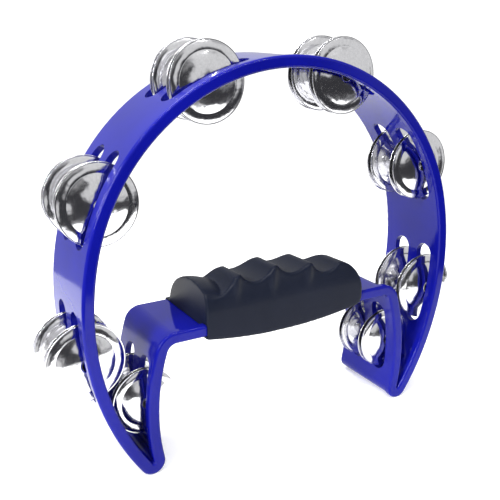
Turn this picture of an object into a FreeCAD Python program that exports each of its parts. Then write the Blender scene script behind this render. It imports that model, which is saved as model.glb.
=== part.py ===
import FreeCAD, Part
import os
from math import acos, asin, atan2, cos, degrees, pi, radians, sin, sqrt, tan

# Cutaway hand tambourine standing on its two feet, in millimetres.
# X runs across the ring, Y runs through its depth with the rimmed face at -Y,
# and Z points up. The origin is on the ground under the middle of the ring.

# Ring outline, seen from the front
ring_radius = 125.0            # outside of the rim over the top of the ring
ring_centre_height = 107.0     # centre of the ring above the ground
flank_radius = 165.0           # outside of the rim on the straighter lower flanks
flank_start = radians(14.4)    # angle above the ring centre where the flanks begin
foot_radius = 7.7              # round bottom of each foot
leg_bow_radius = 130.0         # slight outward bow of the legs towards the hand gap
leg_widest_height = 34.0       # height at which the hand gap is widest
bar_underside_height = 78.2    # underside of the handle bar
gap_corner_radius = 6.0        # corners of the hand gap under the bar

# Moulded section
ring_depth = 56.0
rim_thickness = 7.0            # thick rim along the front edge
rim_depth = 4.5
rim_rounding = 1.6             # front edges of the rim
web_inset = 0.8                # outer face of the web behind the outer face of the rim
web_thickness = 3.8
pin_inset = 3.0                # pins behind the outer face of the rim, inside the web
web_rounding = 0.7             # rear edges of the web

# Jingle stations
station_angles = {"lower": radians(-15.1), "upper": radians(26.3), "top": radians(68.4)}
leg_station_height = 42.3
row_offset = 11.0              # each row of slots from the middle of the depth
slot_width = 13.4
slot_length = 55.6
leg_slot_length = 50.0

# Jingles: dished discs that hang in pairs, hollow sides facing each other
jingle_radius = 22.5
leg_jingle_radius = 20.0
jingle_gauge = 0.5
jingle_hole_radius = 3.2
dish_height = 3.3              # depth of the hollow at its middle
dish_fraction = 0.76           # radius of the hollow as a part of the disc radius
dish_blend_radius = 2.0        # blend from the dish into the flat flange
flange_spacing = 1.6           # flange of each disc from the middle of its pair
pair_shift = 0.9               # the pairs rest against the front ends of their play in the slots
jingle_lean = radians(2.0)     # the tops of a pair lean together

# Pins
pin_radius = 1.0
pin_back = 27.4                # rear end of each pin, just inside the rear edge
pin_front = -25.0              # blind front end, inside the rim
pin_interference = 0.02        # the pins are pressed into the moulding
pin_chamfer = 0.3
hang_gap = 0.1                 # daylight between a pin and the top of a hole

# Rubber grip moulded around the handle bar
grip_left = -55.8
grip_right = 54.5
grip_half_depth = 29.5
grip_crown_height = 114.2      # top of the lengthwise arch
grip_crown_x = -8.5            # a little left of the middle
grip_arch_radius = 178.0       # lengthwise arch
grip_arch_sweep = 50           # degrees of arch, enough to pass both ends of the grip
grip_crown_y = -14.5           # the section is highest towards the front
grip_front_radius = 120.0      # slight fall from there to the front face
grip_back_radius = 24.0        # rounded fall behind the crown
grip_back_slope = radians(45)  # into a straight slope down to the rear of the bar
grip_wrap = 0.9                # rubber over the rear edge of the bar
grip_groove_fall = 0.039       # the grooves run down towards the back by this slope
grip_belly_x = -4.0
grip_belly_height = 72.0       # lowest line of the underside
grip_belly_radius = 300.0
grip_right_end_radius = 22.0   # rounded right end
grip_right_heel_radius = 6.0
grip_bar_squeeze = 0.05        # the rubber is stretched over the bar
grip_section_foot = 40.0       # lower limit of the solids before they are trimmed
grip_edge_rounding = 1.4
grip_swell_middle = (-55.8, -10.0, 82.0)   # swelling of the left end behind the front face
grip_swell_reach = (28.0, 33.0, 25.5)
crest_radius = 3.2
finger_grooves = [              # across, height of the floor at the front, radius
    (-49.4, 101.2, 12.2),
    (-22.6, 105.7, 11.0),
    (3.2, 106.9, 12.8),
    (27.2, 103.2, 11.2),
]

front_y = -ring_depth / 2
back_y = ring_depth / 2


def point(x, z, y=0.0):
    """A point given by its place in the front view."""
    return FreeCAD.Vector(x, y, z)


def along(start, angle, distance):
    """The point at a distance and angle from a start in the front view."""
    return point(start.x + distance * cos(angle), start.z + distance * sin(angle))


def heading(start, end):
    """Angle in the front view from one point to another."""
    return atan2(end.z - start.z, end.x - start.x)


def arc_about(centre, start, end, radius):
    """The shorter arc about a centre between two points in the front view."""
    first = heading(centre, start)
    sweep = (heading(centre, end) - first + pi) % (2 * pi) - pi
    middle = along(centre, first + sweep / 2, radius)
    return Part.Arc(start, middle, end).toShape()


def mirrored(vector):
    return point(-vector.x, vector.z)


def flank_centre():
    """Centre of the right flank's arc, which leaves the ring tangentially."""
    centre = point(0, ring_centre_height)
    return along(centre, flank_start + pi, flank_radius - ring_radius)


def foot_centre():
    """Centre of the right foot's round, touching the ground and the flank."""
    centre = flank_centre()
    rise = centre.z - foot_radius
    reach = sqrt((flank_radius - foot_radius) ** 2 - rise ** 2)
    return point(centre.x + reach, foot_radius)


def leg_centre():
    """Centre of the bowed gap side of the right leg."""
    foot = foot_centre()
    rise = leg_widest_height - foot.z
    reach = sqrt((leg_bow_radius + foot_radius) ** 2 - rise ** 2)
    return point(foot.x - reach, leg_widest_height)


def gap_corner_centre():
    """Centre of the round between the right leg and the underside of the bar."""
    leg = leg_centre()
    height = bar_underside_height - gap_corner_radius
    reach = sqrt((leg_bow_radius - gap_corner_radius) ** 2 - (height - leg.z) ** 2)
    return point(leg.x + reach, height)


def outline():
    """Closed outer outline of the frame, including the hand gap."""
    ring = point(0, ring_centre_height)
    flank, foot, leg, corner = flank_centre(), foot_centre(), leg_centre(), gap_corner_centre()
    ring_end = along(ring, flank_start, ring_radius)
    flank_end = along(flank, heading(flank, foot), flank_radius)
    leg_start = along(foot, heading(foot, leg), foot_radius)
    leg_end = along(leg, heading(leg, corner), leg_bow_radius)
    bar_end = point(corner.x, bar_underside_height)
    right_side = [
        (flank, ring_end, flank_end, flank_radius),
        (foot, flank_end, leg_start, foot_radius),
        (leg, leg_start, leg_end, leg_bow_radius),
        (corner, leg_end, bar_end, gap_corner_radius),
    ]
    crown = along(ring, pi / 2, ring_radius)
    edges = [Part.Arc(ring_end, crown, mirrored(ring_end)).toShape()]
    for centre, start, end, radius in right_side:
        if centre is foot:
            bottom = point(foot.x, 0)
            edges.append(Part.Arc(start, bottom, end).toShape())
            edges.append(Part.Arc(mirrored(start), mirrored(bottom), mirrored(end)).toShape())
        else:
            edges.append(arc_about(centre, start, end, radius))
            edges.append(arc_about(mirrored(centre), mirrored(start), mirrored(end), radius))
    edges.append(Part.makeLine(bar_end, mirrored(bar_end)))
    return Part.Wire(Part.__sortEdges__(edges))


def band(outer_inset, inner_inset, start_y, end_y):
    """Solid strip that follows the outline between two insets."""
    closed = outline()
    outer = closed.makeOffset2D(-outer_inset) if outer_inset else closed
    inner = closed.makeOffset2D(-inner_inset)
    strip = Part.Face(outer).cut(Part.Face(inner))
    strip.translate(point(0, 0, start_y))
    return strip.extrude(point(0, 0, end_y - start_y))


def edges_at(shape, y):
    """Edges of a shape that lie wholly in one plane across the depth."""
    return [e for e in shape.Edges if abs(e.BoundBox.YMin - y) < 0.01 and abs(e.BoundBox.YMax - y) < 0.01]


def slot(station, length):
    """Round-ended cutter for one slot, centred on a pin."""
    straight = length - slot_width
    deep = 30.0
    middle = Part.makeBox(straight, slot_width, deep, FreeCAD.Vector(-straight / 2, -slot_width / 2, -deep / 2))
    cutter = middle
    for end in (-straight / 2, straight / 2):
        cutter = cutter.fuse(Part.makeCylinder(slot_width / 2, deep, FreeCAD.Vector(end, 0, -deep / 2)))
    x, z, angle = station
    cutter.rotate(FreeCAD.Vector(), FreeCAD.Vector(0, 1, 0), 90 - degrees(angle))
    cutter.translate(point(x, z))
    return cutter


def stations():
    """Pin position and outward angle of every jingle station."""
    places = {}
    ring = point(0, ring_centre_height)
    for name, angle in station_angles.items():
        if angle < flank_start:
            centre, radius = flank_centre(), flank_radius - pin_inset
            offset = heading(ring, centre) - angle
            gap = sqrt((centre.x - ring.x) ** 2 + (centre.z - ring.z) ** 2)
            reach = gap * cos(offset) + sqrt(radius ** 2 - (gap * sin(offset)) ** 2)
            pin = along(ring, angle, reach)
            outward = heading(centre, pin)
        else:
            pin = along(ring, angle, ring_radius - pin_inset)
            outward = angle
        places["right_" + name] = (pin.x, pin.z, outward)
        places["left_" + name] = (-pin.x, pin.z, pi - outward)
    leg = leg_centre()
    radius = leg_bow_radius + pin_inset
    drop = asin((leg_station_height - leg.z) / radius)
    pin = along(leg, drop, radius)
    places["right_leg"] = (pin.x, pin.z, drop)
    places["left_leg"] = (-pin.x, pin.z, pi - drop)
    return places


def frame():
    """One-piece moulding: web with a thick front rim, two feet and a handle bar."""
    rim = band(0, rim_thickness, front_y, front_y + rim_depth)
    rim = rim.makeFillet(rim_rounding, edges_at(rim, front_y))
    web = band(web_inset, web_inset + web_thickness, front_y + rim_depth / 2, back_y)
    web = web.makeFillet(web_rounding, edges_at(web, back_y))
    body = rim.fuse(web)
    cutters = []
    for name, station in stations().items():
        length = leg_slot_length if name.endswith("leg") else slot_length
        for row in (-row_offset, row_offset):
            cutter = slot(station, length)
            cutter.translate(point(0, 0, row))
            cutters.append(cutter)
        x, z, angle = station
        hole_length = back_y - pin_front + 1
        hole = Part.makeCylinder(pin_radius - pin_interference, hole_length, point(x, z, pin_front), point(0, 0, 1))
        cutters.append(hole)
    return body.cut(cutters).Solids[0]


def pin(station):
    """Steel pin through both slots of a station."""
    x, z, angle = station
    rod = Part.makeCylinder(pin_radius, pin_back - pin_front, point(x, z, pin_front), point(0, 0, 1))
    return rod.makeChamfer(pin_chamfer, edges_at(rod, pin_back) + edges_at(rod, pin_front))


def jingle_profile(radius):
    """Half section of a dished disc, radius along X and the axis along Z."""
    blend_x = dish_fraction * radius
    reach = (dish_height ** 2 + blend_x ** 2) / (2 * dish_height)
    dish_radius = reach - dish_blend_radius
    dish = point(0, dish_height - dish_radius)
    blend = point(blend_x, dish_blend_radius)
    tangent = heading(dish, blend)
    curves = []
    for lift in (0.0, jingle_gauge):
        dish_side = dish_radius + lift
        blend_side = dish_blend_radius - lift
        hole_angle = acos(jingle_hole_radius / dish_side)
        hole = along(dish, hole_angle, dish_side)
        meeting = along(dish, tangent, dish_side)
        foot = point(blend_x, lift)
        dish_arc = arc_about(dish, hole, meeting, dish_side)
        blend_arc = arc_about(blend, meeting, foot, blend_side)
        flange = Part.makeLine(foot, point(radius, lift))
        curves.append((hole, [dish_arc, blend_arc, flange]))
    (inner_hole, inner_curve), (outer_hole, outer_curve) = curves
    hole_edge = Part.makeLine(inner_hole, outer_hole)
    rim_edge = Part.makeLine(point(radius, 0), point(radius, jingle_gauge))
    edges = inner_curve + outer_curve + [hole_edge, rim_edge]
    return Part.Face(Part.Wire(Part.__sortEdges__(edges)))


def jingle(station, radius, row, side):
    """One disc hanging on its pin. Side -1 bulges to the front, +1 to the back."""
    disc = jingle_profile(radius).revolve(point(0, 0), FreeCAD.Vector(0, 0, 1), 360)
    disc.rotate(point(0, 0), FreeCAD.Vector(1, 0, 0), -90 * side)
    disc.rotate(point(0, 0), FreeCAD.Vector(1, 0, 0), degrees(jingle_lean) * side)
    x, z, angle = station
    hang = jingle_hole_radius * cos(jingle_lean) - pin_radius - hang_gap
    lean_shift = dish_height * sin(jingle_lean)
    disc.translate(point(x, z - hang - lean_shift, row - pair_shift + side * flange_spacing))
    return disc


def beside(first, first_reach, second, second_reach):
    """Point at given distances from two centres, to the right of the way between them."""
    gap = sqrt((second.x - first.x) ** 2 + (second.z - first.z) ** 2)
    turn = acos((gap ** 2 + first_reach ** 2 - second_reach ** 2) / (2 * gap * first_reach))
    return along(first, heading(first, second) - turn, first_reach)


def finger_wave(end, end_radius):
    """Grooves and rounded crests along the top, from the left end to the right end's round."""
    grooves = [(point(x, floor_height + radius), radius) for x, floor_height, radius in finger_grooves]
    first, first_radius = grooves[0]
    left_drop = sqrt(first_radius ** 2 - (first.x - grip_left) ** 2)
    top_left = point(grip_left, first.z - left_drop)
    start = top_left
    edges = []
    for (groove, radius), (following, following_radius) in zip(grooves, grooves[1:]):
        crest = beside(groove, radius + crest_radius, following, following_radius + crest_radius)
        crest_start = along(groove, heading(groove, crest), radius)
        crest_end = along(following, heading(following, crest), following_radius)
        edges.append(arc_about(groove, start, crest_start, radius))
        edges.append(arc_about(crest, crest_start, crest_end, crest_radius))
        start = crest_end
    last, last_radius = grooves[-1]
    crest = beside(end, end_radius - crest_radius, last, last_radius + crest_radius)
    crest_start = along(last, heading(last, crest), last_radius)
    crest_end = along(end, heading(end, crest), end_radius)
    edges.append(arc_about(last, start, crest_start, last_radius))
    edges.append(arc_about(crest, crest_start, crest_end, crest_radius))
    return edges, top_left, crest_end


def arch_centre():
    """Centre of the lengthwise arch of the top."""
    return point(grip_crown_x, grip_crown_height - grip_arch_radius)


def closed_face(edges):
    return Part.Face(Part.Wire(Part.__sortEdges__(edges)))


def grip_top_view():
    """Outline from the front that carries the finger wave, square below it."""
    arch = arch_centre()
    end_radius = grip_right_end_radius
    end = point(grip_right - end_radius, 0)
    end.z = arch.z + sqrt((grip_arch_radius - end_radius) ** 2 - (end.x - arch.x) ** 2)
    edges, top_left, wave_end = finger_wave(end, end_radius)
    end_side = point(grip_right, end.z)
    right_foot = point(grip_right, grip_section_foot)
    left_foot = point(grip_left, grip_section_foot)
    edges += [
        arc_about(end, wave_end, end_side, end_radius),
        Part.makeLine(end_side, right_foot),
        Part.makeLine(right_foot, left_foot),
        Part.makeLine(left_foot, top_left),
    ]
    return closed_face(edges)


def grip_underside_view():
    """Outline from the front that carries the bowed underside, square above it."""
    heel_radius = grip_right_heel_radius
    belly = point(grip_belly_x, grip_belly_height + grip_belly_radius)
    heel = point(grip_right - heel_radius, 0)
    heel.z = belly.z - sqrt((grip_belly_radius - heel_radius) ** 2 - (heel.x - belly.x) ** 2)
    belly_left = point(grip_left, belly.z - sqrt(grip_belly_radius ** 2 - (grip_left - belly.x) ** 2))
    belly_right = along(belly, heading(belly, heel), grip_belly_radius)
    heel_side = point(grip_right, heel.z)
    left_top = point(grip_left, grip_crown_height)
    right_top = point(grip_right, grip_crown_height)
    edges = [
        Part.makeLine(right_top, heel_side),
        arc_about(heel, heel_side, belly_right, heel_radius),
        arc_about(belly, belly_right, belly_left, grip_belly_radius),
        Part.makeLine(belly_left, left_top),
        Part.makeLine(left_top, right_top),
    ]
    return closed_face(edges)


def fallen(turn, radius):
    """Point on the crown's cross-section after a turn from its top, forwards if negative."""
    height = grip_crown_height - radius * (1 - cos(turn))
    return point(grip_crown_x, height, grip_crown_y + radius * sin(turn))


def grip_section():
    """Cross-section of the grip through its crown: upright front, rounded top, sloping back."""
    crown = fallen(0, grip_back_radius)
    slope_top = fallen(grip_back_slope, grip_back_radius)
    slope_middle = fallen(grip_back_slope / 2, grip_back_radius)
    slope_run = grip_half_depth - slope_top.y
    slope_foot = point(grip_crown_x, slope_top.z - slope_run * tan(grip_back_slope), grip_half_depth)
    front_turn = -asin((grip_half_depth + grip_crown_y) / grip_front_radius)
    front_top = fallen(front_turn, grip_front_radius)
    front_middle = fallen(front_turn / 2, grip_front_radius)
    front_foot = point(grip_crown_x, grip_section_foot, front_top.y)
    back_foot = point(grip_crown_x, grip_section_foot, grip_half_depth)
    edges = [
        Part.Arc(front_top, front_middle, crown).toShape(),
        Part.Arc(crown, slope_middle, slope_top).toShape(),
        Part.makeLine(slope_top, slope_foot),
        Part.makeLine(slope_foot, back_foot),
        Part.makeLine(back_foot, front_foot),
        Part.makeLine(front_foot, front_top),
    ]
    return closed_face(edges)


def end_swell():
    """Ellipsoid that raises the left end of the grip behind its rounded front edges."""
    stretch = FreeCAD.Matrix()
    stretch.scale(*grip_swell_reach)
    swell = Part.makeSphere(1).transformGeometry(stretch)
    swell.translate(FreeCAD.Vector(*grip_swell_middle))
    front = grip_edge_rounding - grip_half_depth
    size = (grip_right - grip_left, grip_half_depth - front, grip_crown_height - grip_section_foot)
    return swell.common(Part.makeBox(*size, point(grip_left, grip_section_foot, front)))


def bar_wrap():
    """Rubber around the whole depth of the bar, up to just above it."""
    height = bar_underside_height + web_inset + web_thickness + grip_wrap - grip_section_foot
    size = (grip_right - grip_left, 2 * grip_half_depth, height)
    return Part.makeBox(*size, point(grip_left, grip_section_foot, -grip_half_depth))


def bar_cavity():
    """Space for the handle bar inside the grip, a touch smaller than the bar."""
    squeeze = grip_bar_squeeze
    bottom = bar_underside_height
    start = grip_left - grip_edge_rounding
    long = grip_right + grip_edge_rounding - start
    rim_size = (long, rim_depth - 2 * squeeze, rim_thickness - 2 * squeeze)
    rim = Part.makeBox(*rim_size, point(start, bottom + squeeze, front_y + squeeze))
    web_start = front_y + rim_depth / 2 + squeeze
    web_size = (long, back_y - web_start - squeeze, web_thickness - 2 * squeeze)
    web = Part.makeBox(*web_size, point(start, bottom + web_inset + squeeze, web_start))
    return rim.fuse(web)


def grip():
    """Rubber sleeve over the handle bar with finger grooves along its top."""
    axis = arch_centre()
    through = point(0, 0, 1)
    section = grip_section()
    section.rotate(axis, through, -grip_arch_sweep / 2)
    envelope = section.revolve(axis, through, grip_arch_sweep).fuse(bar_wrap())
    reach = 2 * grip_half_depth
    top_view = grip_top_view()
    top_view.translate(point(0, grip_groove_fall * grip_half_depth, -reach))
    wave = top_view.extrude(point(0, -grip_groove_fall * 2 * reach, 2 * reach))
    underside_view = grip_underside_view()
    underside_view.translate(point(0, 0, -reach))
    underside = underside_view.extrude(point(0, 0, 2 * reach))
    sleeve = envelope.common(wave).common(underside)
    sleeve = sleeve.makeFillet(grip_edge_rounding, edges_at(sleeve, -grip_half_depth))
    return sleeve.fuse(end_swell().common(underside)).cut(bar_cavity())


def build():
    os.makedirs("parts", exist_ok=True)
    pieces = {"frame": frame(), "grip": grip()}
    for name, station in stations().items():
        pieces["pin_" + name] = pin(station)
        radius = leg_jingle_radius if name.endswith("leg") else jingle_radius
        for row_name, row in (("front", -row_offset), ("back", row_offset)):
            for side_name, side in (("fore", -1), ("aft", 1)):
                pieces["jingle_%s_%s_%s" % (name, row_name, side_name)] = jingle(station, radius, row, side)
    for name, shape in pieces.items():
        shape.exportStep("parts/%s.step" % name)


build()
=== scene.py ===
import math

import bmesh
import bpy
from mathutils import Matrix, Vector

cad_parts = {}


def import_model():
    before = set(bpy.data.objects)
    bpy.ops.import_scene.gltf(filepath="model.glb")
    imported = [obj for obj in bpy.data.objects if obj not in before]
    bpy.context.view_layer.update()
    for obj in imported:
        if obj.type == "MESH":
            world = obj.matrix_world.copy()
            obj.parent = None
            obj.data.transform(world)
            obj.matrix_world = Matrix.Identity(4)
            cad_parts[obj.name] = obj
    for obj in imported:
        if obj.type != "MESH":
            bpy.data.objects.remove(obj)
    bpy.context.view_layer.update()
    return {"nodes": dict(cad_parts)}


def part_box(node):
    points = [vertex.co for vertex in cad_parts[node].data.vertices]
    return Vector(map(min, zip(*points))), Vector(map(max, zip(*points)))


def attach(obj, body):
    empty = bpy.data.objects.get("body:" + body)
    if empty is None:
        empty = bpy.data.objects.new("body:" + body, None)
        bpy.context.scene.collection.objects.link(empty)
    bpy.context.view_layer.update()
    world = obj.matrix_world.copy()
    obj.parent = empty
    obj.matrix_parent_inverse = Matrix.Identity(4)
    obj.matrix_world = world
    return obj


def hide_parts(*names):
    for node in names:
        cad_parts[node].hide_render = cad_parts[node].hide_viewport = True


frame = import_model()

# Cutaway hand tambourine standing on its two feet. Metres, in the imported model's frame.

BODY = "body"

# Camera
CAMERA_PLACE = Vector((-0.2271, -0.3732, 0.2512))
CAMERA_TURN = -0.525           # radians about the vertical
CAMERA_TILT = -0.305           # radians below the horizon
CAMERA_LENS = 53.25            # millimetres on a 36 mm sensor

# Jingles, as stamped: every size but the radius is the same on all of them
GAUGE = 0.0005
HOLE_RADIUS = 0.0032
DISH_HEIGHT = 0.0033
DISH_FRACTION = 0.76
DISH_BLEND = 0.002
JINGLE_LEAN = math.radians(2)
RIM_STEP = 0.0001              # pressed step just inside the edge
RIM_STEP_WIDTH = 0.0008
DISC_STEPS = 96
DISH_STEPS = 14                # points along the section of the dish, its blend and the rolled edge
BLEND_STEPS = 4
ROLL_STEPS = 6
DISC_TURNS = 11                # each disc is turned on its axis by a different share of a turn
DENT_COUNT = 5
DENT_DEPTH = 0.00012
DENT_SHALLOWEST = 0.4          # of the full depth
DENT_WIDTH = 0.22              # of the disc's radius
DENT_INNERMOST = 0.35          # of the disc's radius
DENT_OUTWARD = 0.5             # from the innermost to the outermost dent, of the disc's radius
DENT_DISC_TURN = 2.399         # radians from one disc's dents to the next disc's
DENT_SPOT_TURN = 1.618         # half turns from one dent to the next

# Grip
GRIP_VOXEL = 0.0006
GRIP_SOFTEN_STEPS = 16
GRIP_SOFTEN_FACTOR = 0.5
GRIP_CRESTS = (-0.0359, -0.0114, 0.0138)   # across the front
GRIP_RIDGE_WIDTH = 0.0026
GRIP_RIDGE_FOOT = 0.092
GRIP_RIDGE_TOP = 0.106
GRIP_RIDGE_DEPTH = 0.0013
GRIP_RIDGE_FADE = GRIP_RIDGE_DEPTH * 6     # behind the front face, where the ridges end

# Studio
LIGHT_SIDE = (-0.40, 0.45, 0.80)      # the bright side of the studio
WORLD_SHADES = [(0.43, (0.05, 0.05, 0.056)), (0.62, (0.75, 0.75, 0.75)), (0.95, (1.0, 1.0, 1.0))]
ROOM_PATCHES = [(0.44, (0.0, 0.0, 0.0)), (0.49, (0.28, 0.28, 0.29)), (0.54, (0.9, 0.9, 0.9))]
ROOM_SCALE = 1.7               # size of the bright patches in the room
WORLD_STRENGTH = 0.9
BACKDROP_STRENGTH = 1.2
FLOOR_RADIUS = 0.42
FLOOR_MIDDLE = (0.02, 0.10, 0.0)
FLOOR_GLOW = 0.3
SUN_DIRECTION = (0.15, -0.25, -1.0)
SUN_STRENGTH = 1.2
SUN_SPREAD = math.radians(60)
LIGHT_TARGET = (0.0, 0.0, 0.12)
SOFTBOXES = [                  # name, place, width, height, power
    ("top", (-0.35, 0.25, 1.3), 0.5, 0.4, 8.0),
    ("front_strip", (-0.2, -0.60, 1.12), 1.6, 0.04, 10.0),
    ("left_strip", (-1.1, -0.48, 0.65), 0.22, 0.6, 15.0),
]


def node_tree(name):
    """A new material's nodes, links and Principled shader."""
    material = bpy.data.materials.new(name)
    material.use_nodes = True
    tree = material.node_tree
    shader = tree.nodes["Principled BSDF"]
    return material, tree, shader


def add_node(tree, kind, **settings):
    """A node with some of its properties and unlinked inputs set by name."""
    node = tree.nodes.new(kind)
    for name, value in settings.items():
        if name in node.inputs:
            node.inputs[name].default_value = value
        else:
            setattr(node, name, value)
    return node


def noise(tree, scale, detail=2.0, roughness=0.5):
    """Noise in the frame's own coordinates, in features per metre."""
    place = tree.nodes.get("Place") or add_node(tree, "ShaderNodeTexCoord", name="Place")
    pattern = add_node(tree, "ShaderNodeTexNoise", Scale=scale, Detail=detail, Roughness=roughness)
    tree.links.new(place.outputs["Object"], pattern.inputs["Vector"])
    return pattern.outputs["Fac"]


def ramp(tree, factor, stops):
    """Colour ramp through (position, colour) stops."""
    node = add_node(tree, "ShaderNodeValToRGB")
    elements = node.color_ramp.elements
    while len(elements) < len(stops):
        elements.new(0.5)
    for element, (position, colour) in zip(elements, stops):
        element.position = position
        element.color = (*colour, 1.0)
    tree.links.new(factor, node.inputs["Fac"])
    return node.outputs["Color"]


def spread(tree, factor, low, high, start=0.0):
    """A factor between start and 1 turned into the range from low to high."""
    node = add_node(tree, "ShaderNodeMapRange")
    node.inputs["From Min"].default_value = start
    node.inputs["To Min"].default_value = low
    node.inputs["To Max"].default_value = high
    tree.links.new(factor, node.inputs["Value"])
    return node.outputs["Result"]


def bump(tree, shader, layers):
    """Bump from (height, strength, distance) layers, coarse first."""
    normal = None
    for height, strength, distance in layers:
        node = add_node(tree, "ShaderNodeBump", Strength=strength, Distance=distance)
        tree.links.new(height, node.inputs["Height"])
        if normal:
            tree.links.new(normal, node.inputs["Normal"])
        normal = node.outputs["Normal"]
    tree.links.new(normal, shader.inputs["Normal"])


def shell_plastic():
    """Glossy cobalt-blue moulded plastic with faint flow marks and handling haze."""
    material, tree, shader = node_tree("shell_plastic")
    flow = noise(tree, 14.0, 3.0)
    haze = noise(tree, 160.0, 4.0, 0.6)
    orange_peel = noise(tree, 420.0, 2.0)
    colour = ramp(tree, flow, [(0.3, (0.003, 0.004, 0.165)), (0.7, (0.004, 0.006, 0.245))])
    tree.links.new(colour, shader.inputs["Base Color"])
    tree.links.new(spread(tree, haze, 0.05, 0.13), shader.inputs["Roughness"])
    bump(tree, shader, [(flow, 0.12, 0.0014), (orange_peel, 0.03, 0.0002)])
    shader.inputs["IOR"].default_value = 1.46
    shader.inputs["Specular IOR Level"].default_value = 0.20
    return material


def grip_rubber():
    """Near-black moulded rubber with a fine matte grain."""
    material, tree, shader = node_tree("grip_rubber")
    patch = noise(tree, 35.0, 4.0)
    grain = noise(tree, 2600.0, 3.0, 0.6)
    colour = ramp(tree, patch, [(0.3, (0.0030, 0.0052, 0.0140)), (0.7, (0.0050, 0.0075, 0.0180))])
    tree.links.new(colour, shader.inputs["Base Color"])
    tree.links.new(spread(tree, patch, 0.36, 0.50), shader.inputs["Roughness"])
    bump(tree, shader, [(grain, 0.22, 0.0002)])
    shader.inputs["Specular IOR Level"].default_value = 0.15
    return material


def jingle_steel():
    """Bright nickel-plated steel with shallow dents from striking."""
    material, tree, shader = node_tree("jingle_steel")
    dents = noise(tree, 120.0, 2.0)
    rub = noise(tree, 700.0, 4.0, 0.65)
    colour = ramp(tree, rub, [(0.3, (0.67, 0.67, 0.69)), (0.7, (0.78, 0.78, 0.80))])
    tree.links.new(colour, shader.inputs["Base Color"])
    tree.links.new(spread(tree, rub, 0.08, 0.19), shader.inputs["Roughness"])
    bump(tree, shader, [(dents, 0.30, 0.0010)])
    shader.inputs["Metallic"].default_value = 1.0
    return material


def pin_steel():
    """Drawn steel rod, slightly dull."""
    material, tree, shader = node_tree("pin_steel")
    rub = noise(tree, 900.0, 3.0)
    colour = ramp(tree, rub, [(0.3, (0.42, 0.42, 0.43)), (0.7, (0.55, 0.55, 0.56))])
    tree.links.new(colour, shader.inputs["Base Color"])
    tree.links.new(spread(tree, rub, 0.25, 0.40), shader.inputs["Roughness"])
    shader.inputs["Metallic"].default_value = 1.0
    return material


def linked(name, mesh):
    """A mesh put in the scene as an object."""
    piece = bpy.data.objects.new(name, mesh)
    bpy.context.scene.collection.objects.link(piece)
    return piece


def arc(centre, radius, start, stop, steps):
    """Points of an arc in the half section, angles in radians from the outward direction."""
    angles = [start + (stop - start) * i / steps for i in range(steps + 1)]
    return [(centre[0] + radius * math.cos(a), centre[1] + radius * math.sin(a)) for a in angles]


def jingle_section(radius):
    """Closed half section of a stamped disc as (distance from axis, height) points, hollow side down."""
    blend_x = DISH_FRACTION * radius
    reach = (DISH_HEIGHT ** 2 + blend_x ** 2) / (2 * DISH_HEIGHT)
    dish_radius = reach - DISH_BLEND
    dish = (0.0, DISH_HEIGHT - dish_radius)
    blend = (blend_x, DISH_BLEND)
    tangent = math.atan2(blend[1] - dish[1], blend[0] - dish[0])
    outside = dish_radius + GAUGE
    outer = arc(dish, outside, math.acos(HOLE_RADIUS / outside), tangent, DISH_STEPS)
    outer += arc(blend, DISH_BLEND - GAUGE, tangent + math.pi, 1.5 * math.pi, BLEND_STEPS)[1:]
    roll = GAUGE / 2
    step_in = radius - RIM_STEP_WIDTH
    outer += [(step_in - RIM_STEP, GAUGE), (step_in, GAUGE - RIM_STEP)]
    rim = arc((radius - roll, roll), roll, math.pi / 2, -math.pi / 2, ROLL_STEPS)
    rim[0] = (radius - roll, GAUGE - RIM_STEP)
    inner = arc(blend, DISH_BLEND, 1.5 * math.pi, tangent + math.pi, BLEND_STEPS)
    inner += arc(dish, dish_radius, tangent, math.acos(HOLE_RADIUS / dish_radius), DISH_STEPS)[1:]
    return outer + rim + inner


def dents(seed):
    """The knocks one disc has taken, as (angle, share of the radius, depth)."""
    spots = []
    for index in range(DENT_COUNT):
        turn = (seed * DENT_DISC_TURN + index * DENT_SPOT_TURN * math.pi) % (2 * math.pi)
        out = DENT_INNERMOST + DENT_OUTWARD * ((seed + index * 2) % 4) / 3
        share = DENT_SHALLOWEST + (1 - DENT_SHALLOWEST) * ((seed * 7 + index * 3) % 5) / 4
        spots.append((turn, out, DENT_DEPTH * share))
    return spots


def dented(x, y, radius, spots):
    """Depth of all the dents together at one place on the disc."""
    total = 0.0
    for turn, out, depth in spots:
        gap = math.hypot(x - out * radius * math.cos(turn), y - out * radius * math.sin(turn))
        total += depth * math.exp(-(gap / (DENT_WIDTH * radius)) ** 2)
    return total


def lathed_disc(name, radius, seed):
    """Stamped disc turned about its axis, with slight dents."""
    section = jingle_section(radius)
    spots = dents(seed)
    work = bmesh.new()
    rings = []
    for turn_step in range(DISC_STEPS):
        turn = 2 * math.pi * turn_step / DISC_STEPS
        ring = []
        for out, height in section:
            x, y = out * math.cos(turn), out * math.sin(turn)
            ring.append(work.verts.new((x, y, height - dented(x, y, radius, spots))))
        rings.append(ring)
    count = len(section)
    for ring, following in zip(rings, rings[1:] + rings[:1]):
        for i in range(count):
            after = (i + 1) % count
            face = work.faces.new((ring[i], following[i], following[after], ring[after]))
            face.smooth = True
    bmesh.ops.recalc_face_normals(work, faces=work.faces)
    mesh = bpy.data.meshes.new(name)
    work.to_mesh(mesh)
    work.free()
    return mesh


def box_middle(corners):
    """Middle of a box given by its low and high corners."""
    return (Vector(corners[0]) + Vector(corners[1])) / 2


def mesh_middle(mesh):
    """Middle of a mesh's own box."""
    places = [vertex.co for vertex in mesh.vertices]
    low = Vector([min(place[axis] for place in places) for axis in range(3)])
    high = Vector([max(place[axis] for place in places) for axis in range(3)])
    return (low + high) / 2


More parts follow.
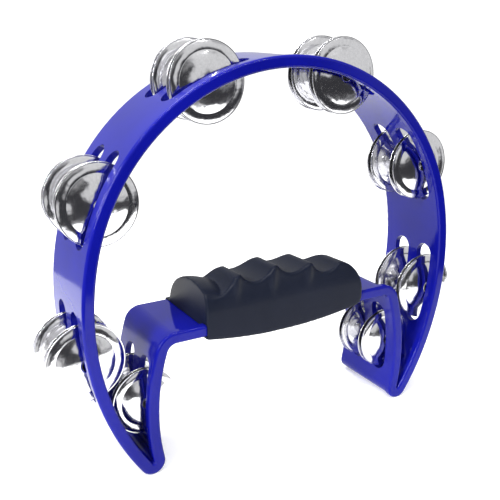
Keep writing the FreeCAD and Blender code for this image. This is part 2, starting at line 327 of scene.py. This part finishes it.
def jingle(node_name, seed, material):
    """Detailed disc in the place of a packed one, riding on its own body."""
    low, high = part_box(node_name)
    radius = (high[0] - low[0]) / 2
    side = 1 if node_name.endswith("aft") else -1
    mesh = lathed_disc("disc_" + node_name, radius, seed)
    mesh.transform(Matrix.Rotation(2 * math.pi * seed / DISC_TURNS, 4, "Z"))
    mesh.transform(Matrix.Rotation(side * (JINGLE_LEAN - math.pi / 2), 4, "X"))
    mesh.transform(Matrix.Translation(box_middle((low, high)) - mesh_middle(mesh)))
    mesh.materials.append(material)
    piece = linked("disc_" + node_name, mesh)
    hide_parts(node_name)
    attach(piece, node_name)


def ease(value, low, high):
    """Smooth step from 0 to 1 between two values."""
    share = min(max((value - low) / (high - low), 0.0), 1.0)
    return share * share * (3 - 2 * share)


def ridge(x, z):
    """How far a place on the grip's front belongs to the low ridge under a finger crest, 0 to 1."""
    nearest = min(abs(x - crest) for crest in GRIP_CRESTS)
    return math.exp(-(nearest / GRIP_RIDGE_WIDTH) ** 2) * ease(z, GRIP_RIDGE_FOOT, GRIP_RIDGE_TOP)


def soft_grip(material):
    """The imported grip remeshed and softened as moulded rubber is, with low ridges under the crests."""
    source = linked("grip_source", frame["nodes"]["grip"].data.copy())
    remesh = source.modifiers.new("remesh", "REMESH")
    remesh.mode = "VOXEL"
    remesh.voxel_size = GRIP_VOXEL
    remesh.use_smooth_shade = True
    soften = source.modifiers.new("soften", "SMOOTH")
    soften.factor = GRIP_SOFTEN_FACTOR
    soften.iterations = GRIP_SOFTEN_STEPS
    shape = source.evaluated_get(bpy.context.evaluated_depsgraph_get())
    mesh = bpy.data.meshes.new_from_object(shape)
    bpy.data.objects.remove(source)
    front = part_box("grip")[0][1]
    for vertex in mesh.vertices:
        depth = vertex.co.y - front
        hold = 1 - ease(depth, 0.0, GRIP_RIDGE_FADE)
        upper = ease(vertex.co.z, GRIP_RIDGE_FOOT, GRIP_RIDGE_TOP)
        vertex.co.y += GRIP_RIDGE_DEPTH * hold * upper * (1 - ridge(vertex.co.x, vertex.co.z))
    mesh.name = "soft_grip"
    mesh.materials.clear()
    mesh.materials.append(material)
    piece = linked("soft_grip", mesh)
    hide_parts("grip")
    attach(piece, BODY)


def dress(node_name, material):
    """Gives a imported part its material."""
    materials = frame["nodes"][node_name].data.materials
    materials.clear()
    materials.append(material)


def floor():
    """Round pale table top under the tambourine."""
    work = bmesh.new()
    bmesh.ops.create_circle(work, cap_ends=True, segments=128, radius=FLOOR_RADIUS)
    mesh = bpy.data.meshes.new("floor")
    work.to_mesh(mesh)
    work.free()
    top = linked("floor", mesh)
    top.location = FLOOR_MIDDLE
    material, tree, shader = node_tree("floor_white")
    shader.inputs["Base Color"].default_value = (0.9, 0.9, 0.9, 1.0)
    shader.inputs["Roughness"].default_value = 0.7
    shader.inputs["Specular IOR Level"].default_value = 0.2
    shader.inputs["Emission Color"].default_value = (1.0, 1.0, 1.0, 1.0)
    shader.inputs["Emission Strength"].default_value = FLOOR_GLOW
    mesh.materials.append(material)


def world():
    """Pale studio, bright above, behind and to the left and dark in front, before a white backdrop."""
    scene = bpy.context.scene
    scene.world = bpy.data.worlds.new("studio")
    scene.world.use_nodes = True
    tree = scene.world.node_tree
    studio = tree.nodes["Background"]
    place = add_node(tree, "ShaderNodeTexCoord")
    toward_light = add_node(tree, "ShaderNodeVectorMath", operation="DOT_PRODUCT")
    toward_light.inputs[1].default_value = LIGHT_SIDE
    tree.links.new(place.outputs["Generated"], toward_light.inputs[0])
    shade = ramp(tree, spread(tree, toward_light.outputs["Value"], 0.0, 1.0, -1.0), WORLD_SHADES)
    room = add_node(tree, "ShaderNodeTexNoise", Scale=ROOM_SCALE, Detail=1.0)
    tree.links.new(place.outputs["Generated"], room.inputs["Vector"])
    patches = ramp(tree, room.outputs["Fac"], ROOM_PATCHES)
    lit = add_node(tree, "ShaderNodeMix", data_type="RGBA", blend_type="SCREEN")
    lit.inputs[0].default_value = 1.0
    tree.links.new(shade, lit.inputs[6])
    tree.links.new(patches, lit.inputs[7])
    tree.links.new(lit.outputs[2], studio.inputs["Color"])
    studio.inputs["Strength"].default_value = WORLD_STRENGTH
    backdrop = add_node(tree, "ShaderNodeBackground", Color=(1.0, 1.0, 1.0, 1.0))
    backdrop.inputs["Strength"].default_value = BACKDROP_STRENGTH
    seen = add_node(tree, "ShaderNodeLightPath")
    choose = add_node(tree, "ShaderNodeMixShader")
    tree.links.new(seen.outputs["Is Camera Ray"], choose.inputs["Fac"])
    tree.links.new(studio.outputs["Background"], choose.inputs[1])
    tree.links.new(backdrop.outputs["Background"], choose.inputs[2])
    tree.links.new(choose.outputs["Shader"], tree.nodes["World Output"].inputs["Surface"])
    scene.view_settings.view_transform = "Standard"


def sun(name, direction, strength, spread_angle):
    """Even light from one side, as soft as its spread."""
    light = bpy.data.lights.new(name, "SUN")
    light.energy = strength
    light.angle = spread_angle
    lamp = bpy.data.objects.new(name, light)
    bpy.context.scene.collection.objects.link(lamp)
    lamp.rotation_euler = Vector(direction).to_track_quat("-Z", "Y").to_euler()


def softbox(name, place, target, width, height, power):
    """Rectangular soft light aimed at a point."""
    light = bpy.data.lights.new(name, "AREA")
    light.shape = "RECTANGLE"
    light.size = width
    light.size_y = height
    light.energy = power
    lamp = bpy.data.objects.new(name, light)
    bpy.context.scene.collection.objects.link(lamp)
    lamp.location = place
    lamp.rotation_euler = (Vector(target) - Vector(place)).to_track_quat("-Z", "Y").to_euler()


def camera():
    """Camera standing in front, to the left and above, looking down on the tambourine."""
    lens = bpy.data.cameras.new("camera")
    lens.lens = CAMERA_LENS
    lens.sensor_width = 36.0
    eye = bpy.data.objects.new("camera", lens)
    bpy.context.scene.collection.objects.link(eye)
    eye.location = CAMERA_PLACE
    eye.rotation_euler = (math.pi / 2 + CAMERA_TILT, 0.0, CAMERA_TURN)
    bpy.context.scene.camera = eye


camera()
floor()
world()
sun("overhead", SUN_DIRECTION, SUN_STRENGTH, SUN_SPREAD)
for name, place, width, height, power in SOFTBOXES:
    softbox(name, place, LIGHT_TARGET, width, height, power)

shell = shell_plastic()
rubber = grip_rubber()
steel = jingle_steel()
rod = pin_steel()
soft_grip(rubber)
dress("frame", shell)
jingle_names = sorted(name for name in frame["nodes"] if name.startswith("jingle_"))
for seed, node_name in enumerate(jingle_names):
    jingle(node_name, seed, steel)
for node_name in frame["nodes"]:
    if node_name.startswith("pin_"):
        dress(node_name, rod)
